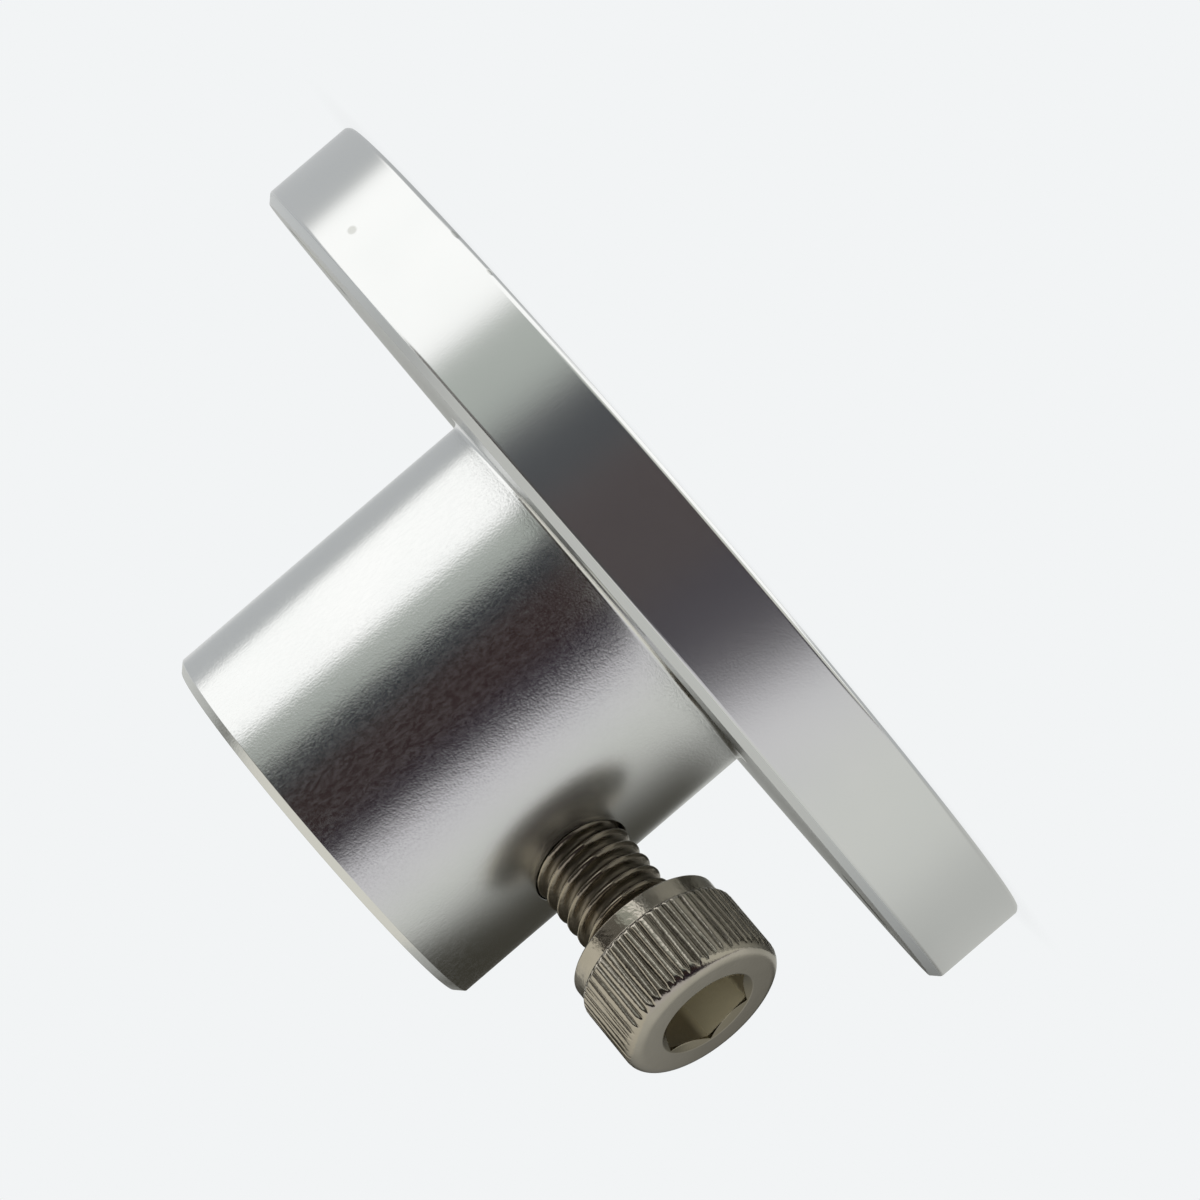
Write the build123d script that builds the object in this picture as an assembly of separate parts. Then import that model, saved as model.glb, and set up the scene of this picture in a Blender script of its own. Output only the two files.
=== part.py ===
from build123d import *

from math import radians, tan
import os

# All lengths are in millimetres. The hub stands on its mounting face: the origin is at the
# centre of the bore on that face, and +Z runs along the bore towards the nose of the boss.
# The clamp screw points along -Y.

# Flange
flange_diameter = 59.0
flange_thickness = 6.3
flange_front_chamfer = 0.2
flange_back_chamfer = 0.5

# Boss
boss_diameter = 25.0
boss_height = 21.2
boss_root_fillet = 0.3
nose_chamfer = 0.5

# Bore for the shaft
bore_diameter = 12.0
bore_chamfer = 0.4

# Bolt holes in the flange
bolt_hole_count = 4
bolt_hole_diameter = 5.5
bolt_hole_edge_distance = 5.0
bolt_hole_chamfer = 0.25
bolt_hole_turn = 60.0

# Clamp screw, an M6 socket head cap screw
thread_diameter = 5.95
thread_clearance = 0.08
screw_length = 12.0
screw_tip_chamfer = 0.6
screw_standoff = 6.0
screw_offset_from_middle = 0.1

# Head of the clamp screw
head_height = 6.1
head_ring_diameter = 9.55
head_ring_length = 1.2
head_ring_bevel = 0.1
head_edge_round = 0.85

# Straight knurl round the head
knurl_diameter = 10.2
knurl_depth = 0.22
knurl_ridges = 56
knurl_start_bevel = 0.4
knurl_turn = 5.0

# Hexagon socket in the head
socket_across_flats = 5.2
socket_depth = 3.0
socket_mouth_diameter = 6.15
socket_mouth_angle = 120.0
socket_floor_depth = 0.7
socket_turn = -16.5

# Sizes that follow from the ones above
flange_radius = flange_diameter / 2
boss_radius = boss_diameter / 2
bore_radius = bore_diameter / 2
hub_length = flange_thickness + boss_height
bolt_hole_radius = bolt_hole_diameter / 2
bolt_circle_radius = flange_radius - bolt_hole_edge_distance
thread_radius = thread_diameter / 2
screw_hole_radius = thread_radius + thread_clearance
screw_height = flange_thickness + boss_height / 2 + screw_offset_from_middle
head_seat = boss_radius + screw_standoff
ring_radius = head_ring_diameter / 2
knurl_radius = knurl_diameter / 2
mouth_radius = socket_mouth_diameter / 2


def turned(profile):
    """A solid turned round the Z axis from a closed profile in the XZ plane."""
    return revolve(Plane.XZ * make_face(profile), Axis.Z)


def hub_blank():
    """Flange, boss and bore in one turned profile, with every edge break."""
    bore_flare = bore_radius + bore_chamfer
    outer_edges = Polyline(
        (bore_radius, bore_chamfer),
        (bore_flare, 0),
        (flange_radius - flange_front_chamfer, 0),
        (flange_radius, flange_front_chamfer),
        (flange_radius, flange_thickness - flange_back_chamfer),
        (flange_radius - flange_back_chamfer, flange_thickness),
        (boss_radius + boss_root_fillet, flange_thickness),
    )
    root = RadiusArc(
        (boss_radius + boss_root_fillet, flange_thickness),
        (boss_radius, flange_thickness + boss_root_fillet),
        boss_root_fillet,
    )
    boss_edges = Polyline(
        (boss_radius, flange_thickness + boss_root_fillet),
        (boss_radius, hub_length - nose_chamfer),
        (boss_radius - nose_chamfer, hub_length),
        (bore_flare, hub_length),
        (bore_radius, hub_length - bore_chamfer),
        (bore_radius, bore_chamfer),
    )
    return turned(outer_edges + root + boss_edges)


def bolt_hole():
    """The cutter for one bolt hole: a drill through the flange, chamfered at both faces."""
    flare = bolt_hole_radius + bolt_hole_chamfer
    outline = Polyline(
        (0, 0),
        (flare, 0),
        (bolt_hole_radius, bolt_hole_chamfer),
        (bolt_hole_radius, flange_thickness - bolt_hole_chamfer),
        (flare, flange_thickness),
        (0, flange_thickness),
        (0, 0),
    )
    return turned(outline)


def screw_hole():
    """The cutter for the clamp screw's hole, from the bore out through one side of the boss."""
    axis_plane = Plane(origin=(0, 0, screw_height), z_dir=(0, -1, 0))
    bar = Cylinder(screw_hole_radius, head_seat, align=(Align.CENTER, Align.CENTER, Align.MIN))
    return axis_plane * bar


def flanged_hub():
    """The hub: one turned piece with four bolt holes and one radial screw hole."""
    hub = hub_blank()
    for place in PolarLocations(bolt_circle_radius, bolt_hole_count, bolt_hole_turn):
        hub -= place * bolt_hole()
    return hub - screw_hole()


def head_envelope():
    """The turned outside of the knurled band, with its bevel below and round edge above."""
    ledge = knurl_radius - knurl_start_bevel
    face_radius = knurl_radius - head_edge_round
    lower = Polyline(
        (0, head_ring_length),
        (ledge, head_ring_length),
        (knurl_radius, head_ring_length + knurl_start_bevel),
        (knurl_radius, head_height - head_edge_round),
    )
    rounding = Spline(
        (knurl_radius, head_height - head_edge_round),
        (face_radius, head_height),
        tangents=[(0, 1), (-1, 0)],
    )
    upper = Polyline((face_radius, head_height), (0, head_height), (0, head_ring_length))
    return turned(lower + rounding + upper)


def knurl_star():
    """A bar whose section is a many-pointed star, one point for each ridge of the knurl."""
    step = 360 / knurl_ridges
    points = []
    for ridge in range(knurl_ridges):
        crest_angle = knurl_turn + ridge * step
        points.append(Vector(knurl_radius, 0).rotate(Axis.Z, crest_angle))
        points.append(Vector(knurl_radius - knurl_depth, 0).rotate(Axis.Z, crest_angle + step / 2))
    section = make_face(Polyline(*points, close=True))
    return Pos(0, 0, head_ring_length) * extrude(section, head_height - head_ring_length)


def shank_and_ring():
    """The threaded shank as a plain bar, and the smooth ring under the knurl."""
    outline = Polyline(
        (0, -screw_length),
        (thread_radius - screw_tip_chamfer, -screw_length),
        (thread_radius, screw_tip_chamfer - screw_length),
        (thread_radius, 0),
        (ring_radius - head_ring_bevel, 0),
        (ring_radius, head_ring_bevel),
        (ring_radius, head_ring_length),
        (0, head_ring_length),
        (0, -screw_length),
    )
    return turned(outline)


def socket():
    """The cutter for the hexagon socket, with its cone-shaped floor and countersunk mouth."""
    flats_radius = socket_across_flats / 2
    floor = head_height - socket_depth
    hexagon = RegularPolygon(flats_radius, 6, major_radius=False, rotation=socket_turn)
    hole = Pos(0, 0, floor) * extrude(hexagon, socket_depth)
    mouth_depth = (mouth_radius - flats_radius) / tan(radians(socket_mouth_angle / 2))
    mouth = Polyline(
        (0, head_height - mouth_depth),
        (flats_radius, head_height - mouth_depth),
        (mouth_radius, head_height),
        (0, head_height),
        (0, head_height - mouth_depth),
    )
    point = Polyline(
        (0, floor - socket_floor_depth),
        (flats_radius, floor),
        (0, floor),
        (0, floor - socket_floor_depth),
    )
    return hole + turned(mouth) + turned(point)


def clamp_screw():
    """The socket head cap screw, backed out of the boss by its standoff."""
    head = head_envelope() & knurl_star()
    screw = shank_and_ring() + head - socket()
    seat = Plane(origin=(0, -head_seat, screw_height), x_dir=(-1, 0, 0), z_dir=(0, -1, 0))
    return seat * screw


os.makedirs("parts", exist_ok=True)
export_step(flanged_hub(), "parts/flanged_hub.step")
export_step(clamp_screw(), "parts/clamp_screw.step")
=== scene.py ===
# %% [markdown]
# # A mounting hub with its clamp screw
# The real object is a round aluminium flange with a long boss, turned from one bar and clear
# anodised. A stainless cap screw goes into the side of the boss and clamps the shaft. The packed
# part already has the right shapes, so this script gives them finer surfaces, a thread, real
# finishes, a studio and a camera.

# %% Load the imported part
import bmesh
import bpy
import numpy as np
from mathutils import Matrix, Vector


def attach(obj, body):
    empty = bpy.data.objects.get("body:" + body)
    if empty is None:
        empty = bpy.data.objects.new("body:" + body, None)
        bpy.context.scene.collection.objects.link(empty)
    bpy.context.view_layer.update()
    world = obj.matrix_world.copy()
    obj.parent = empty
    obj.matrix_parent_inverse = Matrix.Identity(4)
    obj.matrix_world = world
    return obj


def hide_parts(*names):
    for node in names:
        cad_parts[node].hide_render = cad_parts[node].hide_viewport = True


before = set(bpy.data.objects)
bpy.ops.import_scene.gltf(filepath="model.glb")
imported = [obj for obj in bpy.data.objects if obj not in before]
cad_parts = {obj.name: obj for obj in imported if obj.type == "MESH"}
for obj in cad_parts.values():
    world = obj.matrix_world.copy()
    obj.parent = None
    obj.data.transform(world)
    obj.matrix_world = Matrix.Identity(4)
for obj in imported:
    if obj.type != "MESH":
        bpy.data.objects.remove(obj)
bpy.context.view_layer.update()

# %% [markdown]
# ## Camera
# The photograph was taken from close by, almost level with the flange, with the camera rolled so
# far that the boss points down to the left. We could aim with a Track To constraint, but that
# can't roll. Three turns of a level camera say it plainly: a small turn of the aim sideways, a
# small tilt, and the roll about the line of sight.

# %% Camera
MM = 0.001
CAMERA_BEARING = 61.08
CAMERA_DISTANCE = 260.05
CAMERA_HEIGHT = 9.419
AIM_SIDEWAYS = 0.1002
AIM_TILT = -0.6178
CAMERA_ROLL = 130.5646
LENS = 135.67
SENSOR = 36.0


def turn(axis, degrees):
    """Right-hand rotation of the given angle about an axis."""
    return Matrix.Rotation(np.radians(degrees), 3, Vector(axis))


bearing = np.radians(CAMERA_BEARING)
level = turn((0, 0, 1), CAMERA_BEARING + AIM_SIDEWAYS)
right, up, ahead = level.col[0], Vector((0, 0, 1)), level.col[1]
tilt = turn(right, AIM_TILT)
up, ahead = tilt @ up, tilt @ ahead
roll = turn(ahead, CAMERA_ROLL)
right, up = roll @ right, roll @ up

lens = bpy.data.cameras.new("camera")
lens.lens = LENS
lens.sensor_width = SENSOR
lens.clip_start = 10 * MM
camera = bpy.data.objects.new("camera", lens)
bpy.context.scene.collection.objects.link(camera)
camera.rotation_mode = "QUATERNION"
camera.rotation_quaternion = Matrix((right, up, -ahead)).transposed().to_quaternion()
camera.location = (
    CAMERA_DISTANCE * MM * np.sin(bearing),
    -CAMERA_DISTANCE * MM * np.cos(bearing),
    CAMERA_HEIGHT * MM,
)
bpy.context.scene.camera = camera
bpy.context.scene.view_settings.view_transform = "Standard"
print("camera at", [round(v / MM, 1) for v in camera.location], "mm")

# %% [markdown]
# ## Helpers for surfaces
# Every new surface is a grid of points: rows along a profile, columns round it. Numpy works out a
# whole grid at once. The faces between its points are the same for every grid, so one function
# makes them all. Grids that meet share their border points, and merging those closes the piece.


# %% From grids to a closed piece
def grid_faces(rows, columns):
    """Point numbers of the quads between the points of a grid, so that a grid whose columns run
    anticlockwise and whose rows run up has its faces pointing outwards."""
    number = np.arange(rows * columns).reshape(rows, columns)
    corners = [number[:-1, :-1], number[:-1, 1:], number[1:, 1:], number[1:, :-1]]
    return np.stack(corners, axis=-1).reshape(-1, 4)


def make_piece(name, grids, recess=None):
    """One smooth mesh from grids of points in mm, with points nearer than a micron made one.
    recess says how deep each point lies in a groove, from 0 on a crest to 1 at the root."""
    points, faces, count = [], [], 0
    for grid in grids:
        points.append(grid.reshape(-1, 3))
        faces.append(grid_faces(*grid.shape[:2]) + count)
        count += len(points[-1])
    mesh = bpy.data.meshes.new(name)
    mesh.from_pydata(np.concatenate(points) * MM, [], np.concatenate(faces))
    if recess is not None:
        depth = mesh.attributes.new("recess", "FLOAT", "POINT")
        depth.data.foreach_set("value", recess.astype(np.float32).ravel())
    work = bmesh.new()
    work.from_mesh(mesh)
    bmesh.ops.remove_doubles(work, verts=work.verts, dist=0.001 * MM)
    open_edges = sum(1 for edge in work.edges if len(edge.link_faces) != 2)
    volume = work.calc_volume(signed=True) / MM**3
    work.to_mesh(mesh)
    work.free()
    mesh.shade_smooth()
    piece = bpy.data.objects.new(name, mesh)
    bpy.context.scene.collection.objects.link(piece)
    mesh.calc_loop_triangles()
    print(f"{name}: {len(mesh.loop_triangles)} triangles, {open_edges} open edges,",
          f"{volume:.0f} cubic mm")
    return piece


def unit(vectors):
    """Vectors of length one, along the last axis."""
    return vectors / np.linalg.norm(vectors, axis=-1, keepdims=True)


def eased(corners, radii, steps=5, margin=0.02):
    """A polyline in mm with a small arc at each inner corner.

    Where the line turns by an angle a at P, a circle of radius r touches both legs at
    r tan(a / 2) from P, in A and B. The arc is the weighted curve
    (A (1-t)^2 + 2 w P t (1-t) + B t^2) / ((1-t)^2 + 2 w t (1-t) + t^2), with w = cos(a / 2).
    One more point a margin beyond each end of the arc keeps the flat parts flat in shading."""
    line = np.asarray(corners, float)
    middle = line[1:-1]
    before, after = unit(middle - line[:-2]), unit(line[2:] - middle)
    angle = np.arccos(np.clip((before * after).sum(axis=1), -1, 1))
    setback = (np.asarray(radii) * np.tan(angle / 2))[:, None]
    start, end = middle - before * setback, middle + after * setback
    t = np.linspace(0, 1, steps + 1)[None, :, None]
    weight = np.cos(angle / 2)[:, None, None]
    parts = (1 - t) ** 2, 2 * weight * t * (1 - t), t**2
    arcs = start[:, None] * parts[0] + middle[:, None] * parts[1] + end[:, None] * parts[2]
    arcs = arcs / sum(parts)
    ends = (start - before * margin)[:, None], (end + after * margin)[:, None]
    arcs = np.concatenate([ends[0], arcs, ends[1]], axis=1).reshape(-1, 2)
    return np.concatenate([line[:1], arcs, line[-1:]])


def turned(profile, degrees):
    """A turned surface: the profile's point (r, z) goes round as (r cos a, r sin a, z)."""
    angle = np.radians(degrees)[None, :]
    radius, height = profile[:, 0, None], profile[:, 1, None]
    level_part = [radius * np.cos(angle), radius * np.sin(angle)]
    return np.stack([*level_part, height + 0 * angle], axis=-1)


def between(first, last, shares):
    """Rows of points on the straight way from one row to another, at the given shares of it."""
    return first + np.asarray(shares)[:, None, None] * (last - first)


# %% [markdown]
# ## The hub
# A lathe made this shape, so most of it is one profile taken round the axis. The exceptions are
# the holes. A Boolean would cut them, but it leaves long thin faces that spoil the shading of
# polished metal. Here each hole gets its own strip of faces. It starts on the square border of
# its patch, closes in on the hole, goes through and opens again on the far side.

# %% Sizes of the hub in mm
FLANGE_RADIUS = 29.5
FLANGE_THICKNESS = 6.3
FRONT_CHAMFER = 0.2
BACK_CHAMFER = 0.5
BOSS_RADIUS = 12.5
ROOT_FILLET = 0.3
HUB_LENGTH = 27.5
NOSE_CHAMFER = 0.5
BORE_RADIUS = 6.0
BORE_CHAMFER = 0.4
BOLT_CIRCLE = 24.5
BOLT_HOLE_RADIUS = 2.75
BOLT_HOLE_CHAMFER = 0.25
BOLT_HOLE_ANGLES = (60, 150, 240, 330)
SCREW_HOLE_RADIUS = 3.055
SCREW_HEIGHT = 17.0
EDGE_RADIUS = 0.05
RUBBED_RADIUS = 0.3
# How far each profile runs on past its last edge, and the degrees from one column to the next.
FLAT = 0.06
COLUMN = 1.0

# %% Turned parts of the hub
flare = BORE_RADIUS + BORE_CHAMFER
bore_low = eased(
    [(BORE_RADIUS, BORE_CHAMFER + FLAT), (BORE_RADIUS, BORE_CHAMFER), (flare, 0),
     (flare + FLAT, 0)],
    [EDGE_RADIUS] * 2)
rim = eased(
    [(FLANGE_RADIUS - FRONT_CHAMFER - FLAT, 0), (FLANGE_RADIUS - FRONT_CHAMFER, 0),
     (FLANGE_RADIUS, FRONT_CHAMFER), (FLANGE_RADIUS, FLANGE_THICKNESS - BACK_CHAMFER),
     (FLANGE_RADIUS - BACK_CHAMFER, FLANGE_THICKNESS),
     (FLANGE_RADIUS - BACK_CHAMFER - FLAT, FLANGE_THICKNESS)],
    [EDGE_RADIUS, RUBBED_RADIUS, RUBBED_RADIUS, EDGE_RADIUS])
root = eased(
    [(BOSS_RADIUS + ROOT_FILLET + FLAT, FLANGE_THICKNESS), (BOSS_RADIUS, FLANGE_THICKNESS),
     (BOSS_RADIUS, FLANGE_THICKNESS + ROOT_FILLET + FLAT)],
    [ROOT_FILLET], steps=10)
nose = eased(
    [(BOSS_RADIUS, HUB_LENGTH - NOSE_CHAMFER - FLAT), (BOSS_RADIUS, HUB_LENGTH - NOSE_CHAMFER),
     (BOSS_RADIUS - NOSE_CHAMFER, HUB_LENGTH), (flare, HUB_LENGTH),
     (BORE_RADIUS, HUB_LENGTH - BORE_CHAMFER), (BORE_RADIUS, HUB_LENGTH - BORE_CHAMFER - FLAT)],
    [EDGE_RADIUS] * 4)
round_the_axis = np.arange(0, 360 + COLUMN, COLUMN)
hub_grids = [turned(profile, round_the_axis) for profile in (bore_low, rim, root, nose)]
print("turned rows", [len(grid) for grid in hub_grids])


# %% Bolt holes and the flange's two faces
# Degrees of the flange round each hole, steps along the border's straight sides, and the width
# in mm of the flat ring round the hole's mouth.
QUARTER = 90
SIDE_STEPS = 24
BOLT_HOLE_LAND = 0.1


def flange_border(inner, outer, degrees):
    """The closed outline of one quarter of a flange face: out along one straight side, round the
    rim, in along the other side and back round the boss."""
    side = np.linspace(inner, outer, SIDE_STEPS + 1)
    low, high = np.radians(degrees[0]), np.radians(degrees[-1])
    angle = np.concatenate([0 * side + low, np.radians(degrees), 0 * side + high,
                            np.radians(degrees[::-1])])
    radius = np.concatenate([side, 0 * degrees + outer, side[::-1], 0 * degrees + inner])
    outline = np.stack([radius * np.cos(angle), radius * np.sin(angle)], axis=-1)
    repeated = np.linalg.norm(np.diff(outline, axis=0), axis=1) < 1e-9
    return outline[np.concatenate([[True], ~repeated])]


def bolt_hole_strip(centre_degrees):
    """Back face, hole and front face of one quarter. Each border point is joined to the point of
    the hole that lies in its own direction from the hole's middle."""
    degrees = centre_degrees + np.arange(-QUARTER / 2, QUARTER / 2 + COLUMN, COLUMN)
    middle = BOLT_CIRCLE * np.array([np.cos(np.radians(centre_degrees)),
                                     np.sin(np.radians(centre_degrees))])
    back = flange_border(root[0, 0], rim[-1, 0], degrees)
    front = flange_border(bore_low[-1, 0], rim[0, 0], degrees)
    way = [np.unwrap(np.arctan2(*(line - middle).T[::-1])) for line in (back, front)]
    mouth = BOLT_HOLE_RADIUS + BOLT_HOLE_CHAMFER
    profile = eased(
        [(mouth + BOLT_HOLE_LAND, FLANGE_THICKNESS), (mouth, FLANGE_THICKNESS),
         (BOLT_HOLE_RADIUS, FLANGE_THICKNESS - BOLT_HOLE_CHAMFER),
         (BOLT_HOLE_RADIUS, BOLT_HOLE_CHAMFER), (mouth, 0), (mouth + BOLT_HOLE_LAND, 0)],
        [EDGE_RADIUS] * 4, steps=3)
    share = np.clip(1 - profile[:, 1] / FLANGE_THICKNESS, 0, 1)[:, None]
    angle = way[0] * (1 - share) + way[1] * share
    ring = middle + profile[:, :1, None] * np.stack([np.cos(angle), np.sin(angle)], axis=-1)
    hole = np.concatenate([ring, profile[:, 1, None, None] + 0 * ring[..., :1]], axis=-1)
    back, front = (np.column_stack([line, 0 * line[:, 0] + height])
                   for line, height in ((back, FLANGE_THICKNESS), (front, 0)))
    return np.concatenate([between(back, hole[0], [0, 0.5]), hole,
                           between(hole[-1], front, [0.5, 1])])


hub_grids += [bolt_hole_strip(angle) for angle in BOLT_HOLE_ANGLES]
print("bolt hole strips", hub_grids[-1].shape)

# %% Boss wall and bore wall, apart from the screw hole's window
# The screw hole faces 270 degrees. Its window in the walls reaches 45 degrees to each side.
SCREW_SIDE = 270
WINDOW = 45
WALL_ROWS = 22
WINDOW_ROWS = 12
boss_heights = np.linspace(root[-1, 1], nose[0, 1], WALL_ROWS + 1)
bore_heights = np.linspace(bore_low[0, 1], nose[-1, 1], WALL_ROWS + 1)
past_window = np.arange(SCREW_SIDE + WINDOW, SCREW_SIDE + 360 - WINDOW + COLUMN, COLUMN)
boss_wall = np.column_stack([0 * boss_heights + BOSS_RADIUS, boss_heights])
bore_wall = np.column_stack([0 * bore_heights + BORE_RADIUS, bore_heights])[::-1]
hub_grids += [turned(wall, past_window) for wall in (boss_wall, bore_wall)]
print("wall rows", WALL_ROWS, "columns past the window", len(past_window))


# %% Screw hole, from the boss to the bore
def window_border(heights):
    """The closed outline of the window as (degrees from its middle, height)."""
    degrees = np.arange(-WINDOW, WINDOW + COLUMN, COLUMN)
    low, high = heights[0], heights[-1]
    angle = np.concatenate([degrees, 0 * heights[1:] + WINDOW, degrees[::-1][1:],
                            0 * heights[1:] - WINDOW])
    height = np.concatenate([0 * degrees + low, heights[1:], 0 * degrees[1:] + high,
                             heights[::-1][1:]])
    return np.stack([angle, height], axis=-1)


def on_wall(degrees, height, radius):
    """Points of a cylinder from the angle off the window's middle and the height."""
    angle = np.radians(SCREW_SIDE + degrees)
    return np.stack([radius * np.cos(angle), radius * np.sin(angle), height], axis=-1)


def window_rows(border, way, wall_radius, reach):
    """Rows from the window's border to a ring round the hole, unrolled and laid on the wall."""
    ring = np.stack([np.degrees(np.arcsin(reach * np.cos(way) / wall_radius)),
                     SCREW_HEIGHT + reach * np.sin(way)], axis=-1)
    flat = between(border, ring, np.linspace(0, 1, WINDOW_ROWS + 1)[:-1])
    return on_wall(flat[..., 0], flat[..., 1], wall_radius)


def hole_rows(profile, way, wall_radius, sign):
    """Rings round the hole's edge, from a profile of (distance from its axis, depth in the wall).

    A ring at distance d has x = d cos(way) and z = d sin(way) off the hole's axis, and
    y = -(sqrt(radius^2 - x^2) + sign depth). The sign is -1 on the boss and 1 in the bore."""
    reach, depth = profile[:, :1], profile[:, 1:]
    x = reach * np.cos(way)
    y = -(np.sqrt(wall_radius**2 - x**2) + sign * depth)
    return np.stack([x, y, SCREW_HEIGHT + reach * np.sin(way)], axis=-1)


# Width of the ring on the wall round the hole, and depth of the first ring inside it, in mm.
HOLE_LAND = 0.2
HOLE_WALL = 0.15
edge = eased([(SCREW_HOLE_RADIUS + HOLE_LAND, 0), (SCREW_HOLE_RADIUS, 0),
              (SCREW_HOLE_RADIUS, HOLE_WALL)], [EDGE_RADIUS])
borders = window_border(boss_heights), window_border(bore_heights)
ways = [np.unwrap(np.arctan2(line[:, 1] - SCREW_HEIGHT, np.radians(line[:, 0]) * radius))
        for line, radius in zip(borders, (BOSS_RADIUS, BORE_RADIUS))]
outside = hole_rows(edge, ways[0], BOSS_RADIUS, -1)
inside = hole_rows(edge[::-1], ways[1], BORE_RADIUS, 1)
screw_hole = np.concatenate([
    window_rows(borders[0], ways[0], BOSS_RADIUS, edge[0, 0]),
    outside,
    between(outside[-1], inside[0], [0.25, 0.5, 0.75]),
    inside,
    window_rows(borders[1], ways[1], BORE_RADIUS, edge[0, 0])[::-1],
])
hub_grids.append(screw_hole)
hub = make_piece("hub_turned", hub_grids)

# %% [markdown]
# ## The clamp screw
# Cap screws like this are cold headed, and their thread is rolled. Rolling leaves round crests.
# We could sweep a thread profile along a helix, but its ends are hard to close. It is easier to
# say how far each point of the shank lies from the axis: the crest climbs one pitch for each
# turn, and the distance from the crest sets the radius. The knurl and the hexagon are functions
# of the angle too, so the whole screw is one grid.

# %% Sizes of the screw in mm, along its own axis from the bearing face
SEAT = 18.5
SCREW_LENGTH = 12.0
PITCH = 1.0
THREAD_RADIUS = 2.975
ROOT_RADIUS = 2.45
TIP_RADIUS = 2.375
CREST_AT = -3.33
# Half of the crest and the flank beside it, as shares of the pitch.
CREST_SHARE = 0.05
FLANK_SHARE = 0.37
THREAD_END = -0.55
RUN_OUT = 0.5
NECK_LENGTH = 0.3
NECK_FILLET = 0.2
RING_RADIUS = 4.775
RING_BEVEL = 0.1
RING_EDGE_RADIUS = 0.06
RING_LENGTH = 1.2
KNURL_RADIUS = 5.1
KNURL_DEPTH = 0.27
KNURL_START = 0.4
VALLEY_POWER = 3.4
RIDGES = 56
RIDGE_AT = 5.0
# The knurl is deepest on three sides. One of them, in degrees, faces the camera.
DEEP_SIDE = 190
HEAD_HEIGHT = 6.1
EDGE_ROUND = 0.85
FACE_RADIUS = KNURL_RADIUS - EDGE_ROUND
MOUTH_RADIUS = 3.075
MOUTH_ANGLE = 120.0
HALF_FLATS = 2.6
HEXAGON_AT = -16.5
SOCKET_DEPTH = 3.0
FLOOR_CONE = 0.7
COLUMNS_PER_RIDGE = 8
ROWS_PER_PITCH = 10
# Rows of the head's side: its rounded start, the straight knurl and the round outer edge.
START_ROWS = 8
STRAIGHT_ROWS = 10
BEND_ROWS = 18

# %% Columns round the screw
screw_columns = RIDGES * COLUMNS_PER_RIDGE
step = 360 / screw_columns
around = RIDGE_AT + step * np.arange(screw_columns + 1)
twist = (HEXAGON_AT - RIDGE_AT + step / 2) % step - step / 2
around_hexagon = around + twist
print(f"{screw_columns} columns, hexagon turned {twist:.2f} degrees to put a column on its corners")


# %% Shank with its rolled thread
def thread_radius(height):
    """Radius of the shank at each height and angle, and how deep in the groove it lies.

    The distance to the nearest crest, in pitches, is a saw wave of height / pitch - angle / 360.
    Over it the radius falls from the crest to the root along half a cosine wave. Near the head
    the thread runs out to the root over RUN_OUT, and at the tip a cone of 45 degrees cuts it."""
    phase = (height[:, None] - CREST_AT) / PITCH - (around[None, :] - 180) / 360
    from_crest = np.abs(phase - np.round(phase))
    fall = 0.5 - 0.5 * np.cos(np.pi * np.clip((from_crest - CREST_SHARE) / FLANK_SHARE, 0, 1))
    full_thread = np.clip((height[:, None] - THREAD_END) / RUN_OUT, -1, 0) * -1
    depth = 1 - (1 - fall) * full_thread
    radius = THREAD_RADIUS - (THREAD_RADIUS - ROOT_RADIUS) * depth
    return np.minimum(radius, TIP_RADIUS + (height[:, None] + SCREW_LENGTH)), depth


shank_heights = np.arange(-SCREW_LENGTH, -NECK_LENGTH, PITCH / ROWS_PER_PITCH)
shank_radius, shank_recess = thread_radius(shank_heights)
shank = np.stack([shank_radius, shank_heights[:, None] + 0 * shank_radius], axis=-1)
# The tip is flat. Its second row lies near its edge, so the shading of the flat stays flat.
tip = np.array([(0, -SCREW_LENGTH), (0.8 * TIP_RADIUS, -SCREW_LENGTH)])
# The ring ends just short of where the knurl's rounded start rises through its radius.
start_angle = np.arcsin(1 - (KNURL_RADIUS - RING_RADIUS) / KNURL_START)
ring_end = RING_LENGTH + KNURL_START * (1 - np.cos(start_angle)) - 0.04
ring = eased(
    [(ROOT_RADIUS, -NECK_LENGTH), (ROOT_RADIUS, 0), (RING_RADIUS - RING_BEVEL, 0),
     (RING_RADIUS, RING_BEVEL), (RING_RADIUS, ring_end)],
    [NECK_FILLET, RING_EDGE_RADIUS, RING_EDGE_RADIUS])
print("shank rows", len(shank), "ring rows", len(ring))


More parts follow.
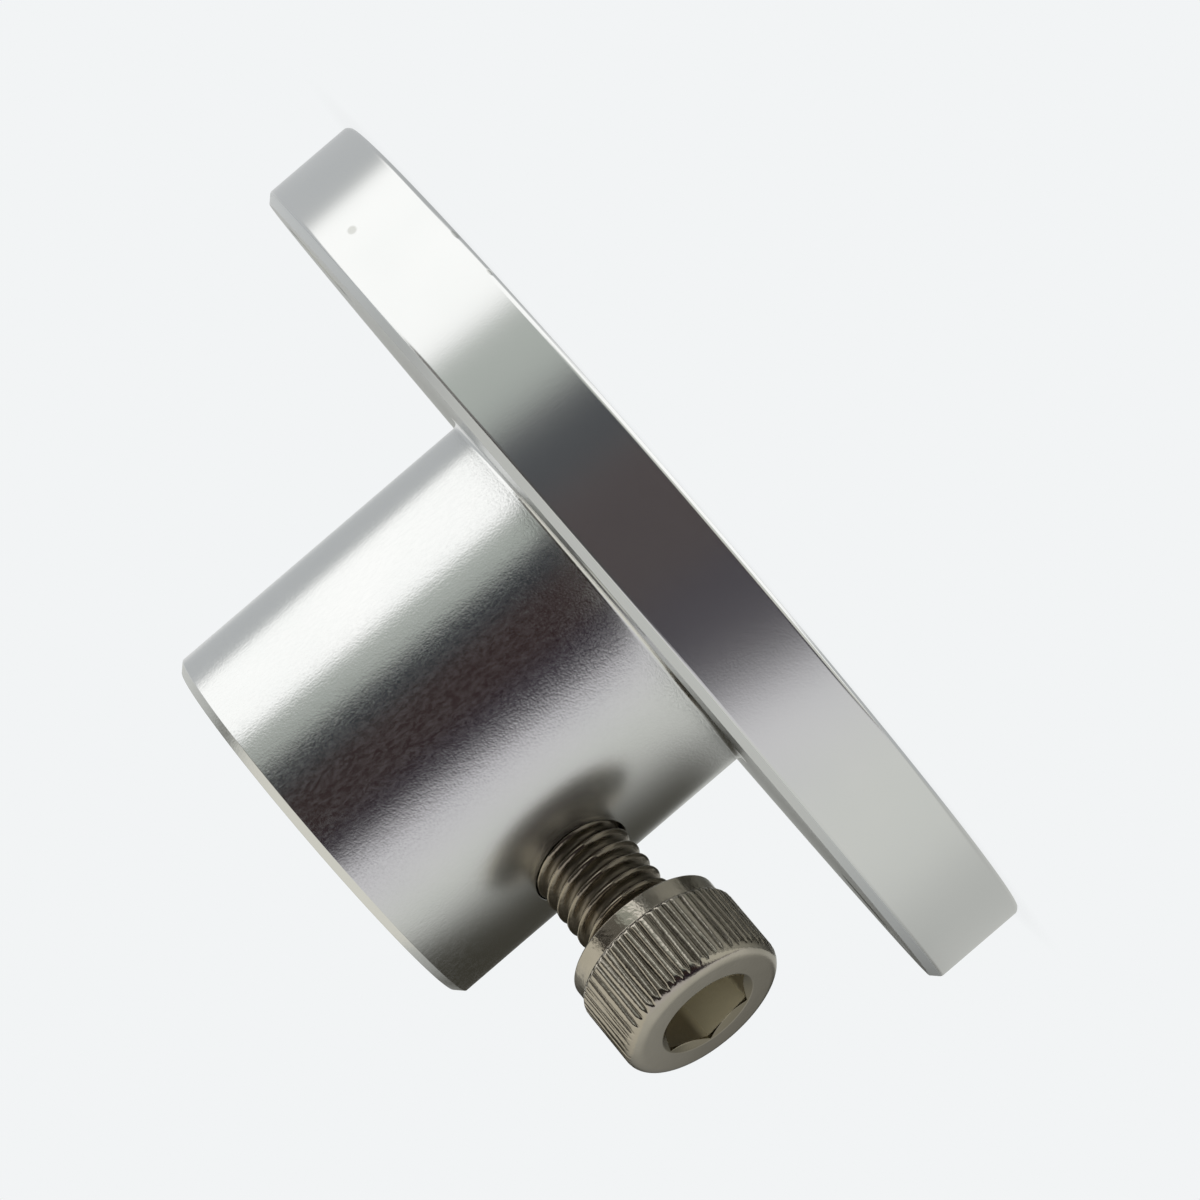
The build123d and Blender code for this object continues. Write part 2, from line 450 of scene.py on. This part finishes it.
# %% Knurl
def knurl_rows():
    """The head's side. The turned envelope starts and ends as quarter circles, and the knurl
    lies inside it at KNURL_RADIUS - depth |2 p|^VALLEY_POWER, where p is the angle from the
    nearest ridge as a share of the ridge's width. Sine waves round the head make p and the depth
    as uneven as a rolled knurl is."""
    start = np.linspace(start_angle, np.pi / 2, START_ROWS + 1)[:-1]
    straight = np.linspace(RING_LENGTH + KNURL_START, HEAD_HEIGHT - EDGE_ROUND,
                           STRAIGHT_ROWS + 1)[:-1]
    bend = np.linspace(0, np.pi / 2, BEND_ROWS + 1)
    height = np.concatenate([RING_LENGTH + KNURL_START * (1 - np.cos(start)), straight,
                             HEAD_HEIGHT - EDGE_ROUND * (1 - np.sin(bend))])
    envelope = np.concatenate([KNURL_RADIUS - KNURL_START * (1 - np.sin(start)),
                               0 * straight + KNURL_RADIUS,
                               FACE_RADIUS + EDGE_ROUND * np.cos(bend)])
    a, h = np.radians(around)[None, :], height[:, None]
    share = (a - np.radians(RIDGE_AT)) * RIDGES / (2 * np.pi)
    share = share + 0.07 * np.sin(13 * a + 1.0 + 0.5 * h) + 0.05 * np.sin(29 * a - 0.8 * h)
    depth = KNURL_DEPTH * (0.7 + 0.18 * np.cos(3 * (a - np.radians(DEEP_SIDE)))
                           + 0.12 * np.sin(17 * a + 2.0) * np.cos(5 * a + 0.6 * h))
    star = KNURL_RADIUS - depth * (2 * np.abs(share - np.round(share))) ** VALLEY_POWER
    radius = np.minimum(envelope[:, None], star)
    cut = (envelope[:, None] - radius) / KNURL_DEPTH
    return np.stack([radius, height[:, None] + 0 * radius], axis=-1), cut


knurl, knurl_recess = knurl_rows()
print("knurl rows", len(knurl))


# %% Socket
def socket_rows():
    """Face, chamfer, hexagon and floor of the socket, from the face inwards.

    The hexagon's wall lies at half its width over flats / cos(angle from the middle of the flat).
    The mouth is a shallow cone, as deep as it has narrowed / tan(half its angle), so it reaches
    the wall a little lower on the flats than in the corners. Rows some hundredths of a
    millimetre beside each edge ease it."""
    from_flat = (around_hexagon - HEXAGON_AT) % 60 - 30
    wall = HALF_FLATS / np.cos(np.radians(from_flat))
    same = 0 * wall
    floor = HEAD_HEIGHT - SOCKET_DEPTH

    def cone_height(radius):
        return HEAD_HEIGHT - (MOUTH_RADIUS - radius) / np.tan(np.radians(MOUTH_ANGLE / 2))

    rows = [(same + MOUTH_RADIUS + 0.05, same + HEAD_HEIGHT),
            (same + MOUTH_RADIUS + 0.02, same + HEAD_HEIGHT - 0.001),
            (same + MOUTH_RADIUS - 0.01, cone_height(same + MOUTH_RADIUS - 0.01) - 0.001)]
    for share in (0.3, 0.6, 0.85, 1.0):
        radius = (MOUTH_RADIUS - 0.01) * (1 - share) + (wall + 0.015) * share
        rows.append((radius, cone_height(radius)))
    top = cone_height(wall) - 0.04
    rows += [(wall, top + 0.025), (wall, top)]
    for share in (0.2, 0.4, 0.6, 0.8, 1.0):
        rows.append((wall, top * (1 - share) + (floor + 0.06) * share))
    rows += [(wall - 0.02, same + floor + 0.015), (wall - 0.06, same + floor)]
    for share in (0.98, 0.8, 0.5, 0.2, 0.0):
        rows.append((same + HALF_FLATS * share, same + floor - FLOOR_CONE * (1 - share)))
    return np.stack([np.stack(row, axis=-1) for row in rows])


# Two rows keep the bare face flat between the round edge and the mouth.
FACE_ROWS_AT = (FACE_RADIUS - 0.03, 3.9)
face = np.array([(radius, HEAD_HEIGHT) for radius in FACE_ROWS_AT])
socket = socket_rows()
print("socket rows", len(socket))


# %% One grid for the whole screw
def spread(profile):
    """The same (radius, height) in every column."""
    return np.repeat(profile[:, None, :], screw_columns + 1, axis=1)


sections = [spread(tip), shank, spread(ring), knurl, spread(face), socket]
angles = [around] * 5 + [around_hexagon]
grid = []
for section, angle in zip(sections, angles):
    radius, height = section[..., 0], section[..., 1]
    radians = np.radians(angle)[None, :]
    grid.append(np.stack([-radius * np.cos(radians), -(SEAT + height),
                          SCREW_HEIGHT - radius * np.sin(radians)], axis=-1))
recess = [np.zeros(section.shape[:2]) for section in sections]
recess[1], recess[3] = shank_recess, knurl_recess
screw = make_piece("screw_knurled", [np.concatenate(grid)], np.concatenate(recess))

# %% [markdown]
# ## Helpers for finishes
# Colours are written as hex values, as a colour picker gives them. Blender's shaders work in
# linear light, so one function turns them over. Another adds a node with its settings and links,
# which keeps each finish short enough to read.


# %% Colours and nodes
def linear(hex_colour):
    """Linear red, green, blue and 1, from an sRGB hex colour: below 0.04045 a twelfth, above it
    ((c + 0.055) / 1.055) to the power 2.4."""
    value = np.array([int(hex_colour[k:k + 2], 16) for k in (1, 3, 5)]) / 255
    value = np.where(value <= 0.04045, value / 12.92, ((value + 0.055) / 1.055) ** 2.4)
    return (*value.tolist(), 1.0)


def add(tree, kind, links=None, **settings):
    """Adds a node. links are its inputs by name or number, each a value or another output."""
    node = tree.nodes.new("ShaderNode" + kind)
    for name, value in settings.items():
        setattr(node, name, value)
    for name, value in (links or {}).items():
        if isinstance(value, bpy.types.NodeSocket):
            tree.links.new(value, node.inputs[name])
        else:
            node.inputs[name].default_value = value
    return node


def new_material(name):
    """An empty material, its node tree, and the output node."""
    material = bpy.data.materials.new(name)
    material.use_nodes = True
    material.node_tree.nodes.clear()
    return material, material.node_tree, add(material.node_tree, "OutputMaterial")


def noise(tree, place, size_mm, detail=2.0, roughness=0.5):
    """Noise whose lumps are about the given size."""
    return add(tree, "TexNoise", {"Vector": place, "Scale": 1 / (size_mm * MM), "Detail": detail,
                                  "Roughness": roughness}).outputs["Fac"]


def ranged(tree, value, low, high, to_low, to_high, smooth=False):
    """A value's range from low to high, carried over to another range."""
    return add(tree, "MapRange", {"Value": value, "From Min": low, "From Max": high,
                                  "To Min": to_low, "To Max": to_high},
               interpolation_type="SMOOTHSTEP" if smooth else "LINEAR").outputs["Result"]


def mixed(tree, share, first, second):
    """A colour between two others."""
    return add(tree, "Mix", {0: share, 6: first, 7: second}, data_type="RGBA").outputs[2]


def maths(tree, operation, first, second):
    """One sum on two numbers."""
    return add(tree, "Math", {0: first, 1: second}, operation=operation).outputs[0]


def spot(tree, place, centre_mm, size_mm):
    """1 in the middle of a small oval mark and 0 outside it, by distance over size."""
    centre = tuple(v * MM for v in centre_mm)
    size = tuple(v * MM for v in size_mm)
    away = add(tree, "VectorMath", {0: place, 1: centre}, operation="SUBTRACT").outputs[0]
    scaled = add(tree, "VectorMath", {0: away, 1: size}, operation="DIVIDE").outputs[0]
    length = add(tree, "VectorMath", {0: scaled}, operation="LENGTH").outputs["Value"]
    return ranged(tree, length, 0.5, 1.0, 1.0, 0.0, smooth=True)


# %% [markdown]
# ## Clear anodised aluminium
# The hub is aluminium bar, turned, lightly etched and clear anodised. The etch leaves a fine
# speckle, and the drawn bar shows through as faint streaks along the boss. To the eye that is a
# bright metal whose reflections have soft, slightly grainy edges. A metallic shader with a low
# roughness gives the reflections, and small bumps and pits break them up.


# %% Anodised aluminium
def anodised_aluminium():
    """Metal, roughness from 0.13 on the rim to almost 0.4 on the flange's back, with etched grain,
    streaks, a few marks from handling, and painted shade on the flange's back."""
    material, tree, output = new_material("anodised aluminium, turned and etched")
    place = add(tree, "TexCoord").outputs["Object"]
    # The real grain is 0.05 to 0.1 mm wide, about a pixel, so it is drawn 0.13 to 0.26 mm wide.
    along = add(tree, "Mapping", {"Vector": place, "Scale": (1.0, 1.0, 0.4)}).outputs[0]
    speckle = noise(tree, place, 0.13, detail=1.0)
    streaks = noise(tree, along, 0.26, detail=3.0, roughness=0.6)
    pitted = noise(tree, along, 0.19)
    clouds = noise(tree, place, 7.0)
    parts = add(tree, "SeparateXYZ", {0: place})
    flat = add(tree, "CombineXYZ", {0: parts.outputs[0], 1: parts.outputs[1]}).outputs[0]
    off_axis = add(tree, "VectorMath", {0: flat}, operation="LENGTH").outputs["Value"]
    # Oil from the screw was wiped about its hole. It fills the grain and blurs the reflections.
    from_hole = add(tree, "VectorMath", {0: place, 1: (0.0, -BOSS_RADIUS * MM, SCREW_HEIGHT * MM)},
                    operation="DISTANCE").outputs["Value"]
    wiped = ranged(tree, from_hole, 4.5 * MM, 9 * MM, 0.13, 0.0, smooth=True)
    # The grain fades from the boss out to the rim, whose reflections have a faint haze instead.
    grain = maths(tree, "MULTIPLY", ranged(tree, off_axis, 13 * MM, 28 * MM, 1.0, 0.15),
                  ranged(tree, from_hole, 3 * MM, 12 * MM, 0.0, 1.0, smooth=True))
    haze = ranged(tree, off_axis, 13 * MM, 28 * MM, 1.0, 0.94)
    ding = spot(tree, place, (27.14, 11.55, 4.02), (0.5, 0.5, 0.34))
    nick = spot(tree, place, (28.88, 6.0, 0.12), (0.3, 0.6, 0.16))
    second_nick = spot(tree, place, (29.4, 2.44, 0.12), (0.3, 0.35, 0.14))
    marks = maths(tree, "MAXIMUM", ding, maths(tree, "MAXIMUM", nick, second_nick))
    bright = mixed(tree, clouds, linear("#DFE1E1"), linear("#E8E8E8"))
    # The flange's back was turned at a coarser feed, which left it rougher than the rim. Its colour
    # is painted darker all over, as shade.
    back = maths(tree, "MULTIPLY", ranged(tree, off_axis, 12.9 * MM, 13.1 * MM, 0.0, 1.0),
                 ranged(tree, parts.outputs[2], 5.79 * MM, 5.86 * MM, 0.0, 1.0))
    back_shaded = mixed(tree, back, bright, linear("#C6C8C8"))
    colour = mixed(tree, marks, back_shaded, linear("#C9CAC7"))
    # Its chamfer was broken with a file, and the fine scratches scatter the light.
    filed = maths(tree, "MULTIPLY", back, ranged(tree, off_axis, 28.8 * MM, 29 * MM, 0.0, 0.38))
    # Etched pits scatter a little light, which shows as pale grain in the dark reflections.
    pits = maths(tree, "MULTIPLY", grain, ranged(tree, pitted, 0.4, 0.65, 0.0, 0.035))
    metallic = maths(tree, "SUBTRACT", haze, maths(tree, "ADD", filed, pits))
    # The grains are rougher too, which blurs the edges of the reflections unevenly.
    speckled = maths(tree, "MULTIPLY", grain, ranged(tree, speckle, 0.3, 0.7, 0.0, 0.1))
    rough = maths(tree, "ADD", maths(tree, "MULTIPLY", back, 0.16),
                  maths(tree, "ADD", speckled, maths(tree, "ADD", wiped, 0.13)))
    streaked = add(tree, "Bump", {"Height": streaks, "Distance": 0.005 * MM, "Strength": grain})
    grained = add(tree, "Bump", {"Height": speckle, "Distance": 0.005 * MM, "Strength": grain,
                                 "Normal": streaked.outputs[0]})
    dented = add(tree, "Bump", {"Height": marks, "Distance": 0.01 * MM, "Strength": 1.0,
                                "Normal": grained.outputs[0]}, invert=True)
    metal = add(tree, "BsdfPrincipled", {"Base Color": colour, "Metallic": metallic,
                                         "Roughness": rough, "Normal": dented.outputs[0]})
    tree.links.new(metal.outputs[0], output.inputs["Surface"])
    return material


hub.data.materials.append(anodised_aluminium())
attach(hub, "hub")
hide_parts("flanged_hub")
print("hub finish", hub.data.materials[0].name)

# %% [markdown]
# ## Stainless steel
# The screw is stainless steel, cold headed and passivated. It is darker and warmer than
# aluminium, and duller where it has been rolled. Grime and old oil stay in the grooves of the
# thread and the knurl while the crests are rubbed bright, and shade is painted into the grooves
# too, so the grooves' own depth, stored on the mesh as an attribute, steers the colour and the
# roughness.


# %% Stainless steel
def stainless_steel():
    """Metal, roughness 0.1 to 0.5, darker and browner in the grooves, with grime and painted shade,
    and all along the thread.
    """
    material, tree, output = new_material("stainless steel, cold headed and passivated")
    place = add(tree, "TexCoord").outputs["Object"]
    grain = noise(tree, place, 0.14, detail=3.0)
    patches = noise(tree, place, 1.2, detail=3.0)
    recess = add(tree, "Attribute", attribute_name="recess").outputs["Fac"]
    split = add(tree, "SeparateXYZ", {0: place})
    on_thread = ranged(tree, split.outputs[1], -18.55 * MM, -18.4 * MM, 0.0, 1.0)
    head = mixed(tree, patches, linear("#B4AEA2"), linear("#C4BDB2"))
    thread = mixed(tree, patches, linear("#9A9182"), linear("#ABA293"))
    clean = mixed(tree, on_thread, head, thread)
    # The grooves are painted darker, as grime and as shade, more on the flange's side than on the
    # nose's side, and less along the thread.
    dark_side_share = ranged(tree, split.outputs[2], 18 * MM, 21 * MM, 1.0, 0.3)
    dark_side_share = maths(tree, "MULTIPLY", dark_side_share, ranged(tree, on_thread, 0.0, 1.0, 1.0, 0.6))
    grime_and_shade_share = maths(tree, "MULTIPLY", dark_side_share, ranged(tree, patches, 0.3, 0.7, 0.6, 0.9))
    groove = ranged(tree, recess, 0.0, 0.5, 0.0, 1.0)
    # Grime and painted shade darken the grooves, the deeper the darker.
    grime_and_shade_colour = mixed(tree, maths(tree, "MULTIPLY", groove, grime_and_shade_share), clean, linear("#443E34"))
    # The socket's colour is darker than the head's. Its walls get a dull olive that scatters plain
    # light, most of it on one wall: leftover heading lubricant, and painted light that makes that
    # wall lighter than the others.
    across = add(tree, "CombineXYZ", {0: split.outputs[0], 1: split.outputs[2]}).outputs[0]
    off_axis = add(tree, "VectorMath", {0: across, 1: (0.0, SCREW_HEIGHT * MM, 0.0)},
                   operation="DISTANCE").outputs["Value"]
    off_wall = add(tree, "VectorMath", {0: across, 1: (-2.53 * MM, 16.39 * MM, 0.0)},
                   operation="DISTANCE").outputs["Value"]
    socket = maths(tree, "MULTIPLY", ranged(tree, off_axis, 3.02 * MM, 3.07 * MM, 1.0, 0.0),
                   ranged(tree, on_thread, 0.0, 1.0, 1.0, 0.0))
    inside = maths(tree, "MULTIPLY", socket,
                   ranged(tree, split.outputs[1], -24.36 * MM, -24.3 * MM, 0.0, 1.0))
    socket_darkened = mixed(tree, socket, grime_and_shade_colour, linear("#958E7E"))
    # Painted light: the olive makes one wall of the socket lighter than the rest.
    residue_and_light = maths(tree, "MULTIPLY", inside,
                    ranged(tree, off_wall, 1.4 * MM, 2.0 * MM, 0.75, 0.1, smooth=True))
    colour = mixed(tree, residue_and_light, socket_darkened, linear("#B9AE8C"))
    metallic = ranged(tree, residue_and_light, 0.0, 1.0, 1.0, 0.0)
    bright = ranged(tree, patches, 0.3, 0.7, 0.1, 0.17)
    rough = maths(tree, "ADD", maths(tree, "ADD", bright, maths(tree, "MULTIPLY", recess, 0.3)),
                  maths(tree, "MULTIPLY", inside, 0.25))
    # Knocks left shallow dents on the thread and the head's side, and some catch the window.
    dents = noise(tree, place, 0.4, detail=1.0)
    off_face = ranged(tree, split.outputs[1], -24.0 * MM, -23.6 * MM, 0.0, 1.0)
    dented = add(tree, "Bump", {"Height": dents, "Distance": 0.025 * MM, "Strength": off_face})
    grained = add(tree, "Bump", {"Height": grain, "Distance": 0.009 * MM,
                                 "Strength": ranged(tree, inside, 0.0, 1.0, 1.0, 0.15),
                                 "Normal": dented.outputs[0]})
    metal = add(tree, "BsdfPrincipled", {"Base Color": colour, "Metallic": metallic,
                                         "Roughness": rough, "Normal": grained.outputs[0]})
    tree.links.new(metal.outputs[0], output.inputs["Surface"])
    return material


screw.data.materials.append(stainless_steel())
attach(screw, "screw")
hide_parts("clamp_screw")
print("screw finish", screw.data.materials[0].name)

# %% [markdown]
# ## Studio
# Bare metal has no look of its own: it shows what stands round it. So the studio is a light
# tent, a sphere whose inside is painted with a few large soft cards, bright, grey and dark. We
# could hang separate lamps and boards, but one painted sphere is easier to tune. The camera
# doesn't see it, and dull surfaces see it as plain white.

# %% Cards of the light tent
TENT_RADIUS = 600.0
PALE = linear("#F2F4F5")
METAL_GAIN = 1.28
ROOM_LEAN = 0.76
TENT_WALL = "#A8A9A5"
# Name, colour in the metal, then left edge, right edge and softness in degrees off the camera's
# side, positive towards the table, and how far both edges lean for each degree of height.
TENT_CARDS = (
    ("cool wall", "#A9ABAC", -200, -119, 6, 0),
    ("bounce behind", "#D0D1D0", -200, -166, 6, 0),
    ("bounce behind, table side", "#B2B3AF", 172, 200, 7, 0),
    ("window", "#FCFCFA", -119, -60, 3, 0),
    ("green panel", "#A0A59F", -60, -38.5, 3, 0),
    ("slate curtain", "#2B2E32", -39.5, -15, 4, 0),
    ("brown curtain", "#322727", -22, 45, 3, 0),
    ("violet curtain", "#28212A", 8, 45, 4, 0),
    ("lavender wall", "#C0BEC1", 33.5, 75, 5, -1.8),
    ("warm table", "#C2C3BE", 55, 106, 14, 0),
)
# The hub stands upright, so its walls mirror only directions close to its own level. The screw
# lies down and mirrors an arc from over the hub to under it. These cards are for the screw, with
# the lowest and the highest height they reach instead of a lean.
HIGH_AND_LOW_CARDS = (
    ("grey wall past the nose", "#65635E", -60, -20, 4, 10, 46),
    ("dark wall past the nose", "#2C2A27", -20, 34, 4, 10, 46),
    ("lamp past the nose", "#CBC9BF", -64, 130, 12, 48, 100),
    ("dull wall past the nose", "#6E6D68", 136, 160, 6, 20, 56),
    ("window's foot", "#FCFCFA", -76, -57, 3, -27, -8),
    ("pale wall under the flange", "#BEBEB6", -62, 30, 6, -64, -27),
    ("cool wall under the flange", "#A6A8A8", -200, -97, 4, -72, -22),
)
# Cards lean only this far up and down, and fade at their lowest and highest height over this.
LEAN_REACH = 6
HEIGHT_SOFTNESS = 2


def soft_step(value, edge, softness):
    """From 0 to 1 across an edge, as half of 1 + tanh(distance / softness)."""
    return 0.5 + 0.5 * np.tanh((value - edge) / softness)


def soft_band(value, low, high, softness):
    """1 between two edges and 0 outside them."""
    return soft_step(value, low, softness) * (1 - soft_step(value, high, softness))


def tent_light(side, height):
    """Light of the tent for each direction: the wall's colour, with each card laid over it as
    far as that direction lies between the card's edges."""
    light = np.array(linear(TENT_WALL))[None, :] * np.ones((side.size, 1))
    leaning = height.clip(-LEAN_REACH, LEAN_REACH)
    for _, colour, left, right_edge, softness, lean in TENT_CARDS:
        cover = soft_band(side - lean * leaning, left, right_edge, softness)
        light += cover[:, None] * (np.array(linear(colour)) - light)
    for _, colour, left, right_edge, softness, low, high in HIGH_AND_LOW_CARDS:
        cover = soft_band(side, left, right_edge, softness)
        cover *= soft_band(height, low, high, HEIGHT_SOFTNESS)
        light += cover[:, None] * (np.array(linear(colour)) - light)
    return light * METAL_GAIN


def room_side(points):
    """How far round the room a direction lies, in degrees: 0 at the camera, negative up to the
    window and positive down to the table. It is the angle of (up part / lean, part towards the
    camera), and the room's up is the picture's up."""
    direction = unit(points)
    lift = direction @ np.array(up) / ROOM_LEAN
    return -np.degrees(np.arctan2(lift, direction @ -np.array(ahead)))


# %% Light tent
TENT_COLUMNS = 240
TENT_ROWS = 120


def sphere(radius, columns, rows):
    """Points (cos h cos a, cos h sin a, sin h) of a sphere, for heights h from pole to pole."""
    angle, height = np.meshgrid(np.linspace(0, 360, columns + 1), np.linspace(-90, 90, rows + 1))
    a, h = np.radians(angle), np.radians(height)
    points = np.stack([np.cos(h) * np.cos(a), np.cos(h) * np.sin(a), np.sin(h)], axis=-1)
    return radius * points, height


def stage_mesh(name, points, colours, material):
    """A stage mesh from one grid, with a colour at each point."""
    mesh = bpy.data.meshes.new(name)
    mesh.from_pydata(points.reshape(-1, 3) * MM, [], grid_faces(*points.shape[:2]))
    paint = mesh.attributes.new("light", "FLOAT_COLOR", "POINT")
    paint.data.foreach_set("color", colours.astype(np.float32).ravel())
    mesh.shade_smooth()
    mesh.materials.append(material)
    made = bpy.data.objects.new(name, mesh)
    bpy.context.scene.collection.objects.link(made)
    made.visible_camera = False
    return made


def tent_fabric():
    """Glows with the painted light, and plain white for surfaces that scatter."""
    material, tree, output = new_material("light tent")
    paint = add(tree, "Attribute", attribute_name="light").outputs["Color"]
    scattered = add(tree, "LightPath").outputs["Is Diffuse Ray"]
    glow = add(tree, "Emission", {"Color": mixed(tree, scattered, paint, PALE), "Strength": 1.0})
    tree.links.new(glow.outputs[0], output.inputs["Surface"])
    material.cycles.emission_sampling = "NONE"
    return material


tent_points, tent_height = sphere(TENT_RADIUS, TENT_COLUMNS, TENT_ROWS)
tent = stage_mesh("light_tent", tent_points,
                  tent_light(room_side(tent_points).ravel(), tent_height.ravel()),
                  tent_fabric())
print("light tent", len(tent.data.polygons), "faces,",
      len(TENT_CARDS) + len(HIGH_AND_LOW_CARDS), "cards")

# %% [markdown]
# ## The part's shadow on the table
# The photographed part lay on a table, on its flange and its screw. Close under the boss that
# table is in shadow, so the boss turns dark olive on the screw's side, while the rim and the
# screw's face mirror the lit table further out. A card with soft edges stands for the shadow.
# Only mirrored rays see it.

# %% Shadow card
TABLE_DEPTH = 33.0
CARD_COLOUR = "#35332C"
# Edges and softness in mm, away from the camera or across the picture, counted from under the
# middle of the flange's face. NEAR_EDGE is the near edge at NEAR_EDGE_AT across. For each
# millimetre across from there it shifts by the slant and gains softness.
NEAR_EDGE_AT = -5.6
NEAR_EDGE = -10.2
NEAR_EDGE_SLANT = 0.305
NEAR_SOFTNESS = 5
NEAR_SOFTENING = 0.36
FAR_EDGE = 54
FAR_SOFTNESS = 18
NOSE_EDGE = -15
FLANGE_EDGE = 18.5
SIDE_SOFTNESS = 2.5
card_away, card_across = np.meshgrid(np.linspace(-30, 110, 71), np.linspace(-45, 35, 81))
card_points = (card_away[..., None] * np.array(ahead) + card_across[..., None] * np.array(right)
               - TABLE_DEPTH * np.array(up))
from_there = card_across - NEAR_EDGE_AT
near_edge = NEAR_EDGE + from_there * NEAR_EDGE_SLANT
near_softness = NEAR_SOFTNESS + from_there.clip(-5, 30) * NEAR_SOFTENING
card_cover = soft_step(card_away, near_edge, near_softness)
card_cover *= 1 - soft_step(card_away, FAR_EDGE, FAR_SOFTNESS)
card_cover *= soft_band(card_across, NOSE_EDGE, FLANGE_EDGE, SIDE_SOFTNESS)
card_paint = np.repeat(card_cover.reshape(-1, 1), 4, axis=1)


def card_board():
    """A dull dark olive whose painted edge fades to nothing."""
    material, tree, output = new_material("shadow card")
    cover = add(tree, "Attribute", attribute_name="light").outputs["Fac"]
    glow = add(tree, "Emission", {"Color": linear(CARD_COLOUR), "Strength": METAL_GAIN})
    clear = add(tree, "BsdfTransparent")
    board = add(tree, "MixShader", {0: cover, 1: clear.outputs[0], 2: glow.outputs[0]})
    tree.links.new(board.outputs[0], output.inputs["Surface"])
    material.cycles.emission_sampling = "NONE"
    return material


shadow_card = stage_mesh("shadow_card", card_points, card_paint, card_board())
shadow_card.visible_diffuse = False
shadow_card.visible_shadow = False
print("shadow card", len(shadow_card.data.polygons), "faces")

# %% [markdown]
# ## Floor and background
# The floor and the background are the same pale grey, so no line shows between them. Near the
# part the floor is a real dull surface that takes its shadow. Further off it fades into its own
# plain glow. The metal doesn't mirror the floor, because the rim would then show nothing else.

# %% Floor
FLOOR_REACH = 4000.0
FLOOR_DROP = 0.02
corner_x, corner_y = np.meshgrid([-FLOOR_REACH, FLOOR_REACH], [-FLOOR_REACH, FLOOR_REACH])
floor_mesh = bpy.data.meshes.new("floor")
floor_mesh.from_pydata(
    np.stack([corner_x, corner_y, 0 * corner_x - FLOOR_DROP], axis=-1).reshape(-1, 3) * MM,
    [], grid_faces(2, 2))
floor = bpy.data.objects.new("floor", floor_mesh)
bpy.context.scene.collection.objects.link(floor)
material, tree, output = new_material("pale floor")
place = add(tree, "TexCoord").outputs["Object"]
away = add(tree, "VectorMath", {0: place}, operation="LENGTH").outputs["Value"]
plain_share = ranged(tree, away, FLANGE_RADIUS * MM, 34 * MM, 0.87, 1.0, smooth=True)
matt = add(tree, "BsdfDiffuse", {"Color": (1.0, 1.0, 1.0, 1.0)})
glow = add(tree, "Emission", {"Color": PALE, "Strength": 1.0})
surface = add(tree, "MixShader", {0: plain_share, 1: matt.outputs[0], 2: glow.outputs[0]})
tree.links.new(surface.outputs[0], output.inputs["Surface"])
material.cycles.emission_sampling = "NONE"
floor_mesh.materials.append(material)
floor.visible_glossy = False
print("floor", 2 * FLOOR_REACH * MM, "m wide")

# %% Background
world = bpy.data.worlds.new("pale background")
bpy.context.scene.world = world
world.use_nodes = True
world.node_tree.nodes.clear()
sky = add(world.node_tree, "Background", {"Color": PALE, "Strength": 1.0})
add(world.node_tree, "OutputWorld", {"Surface": sky.outputs[0]})
print("background", [round(v, 3) for v in PALE[:3]])
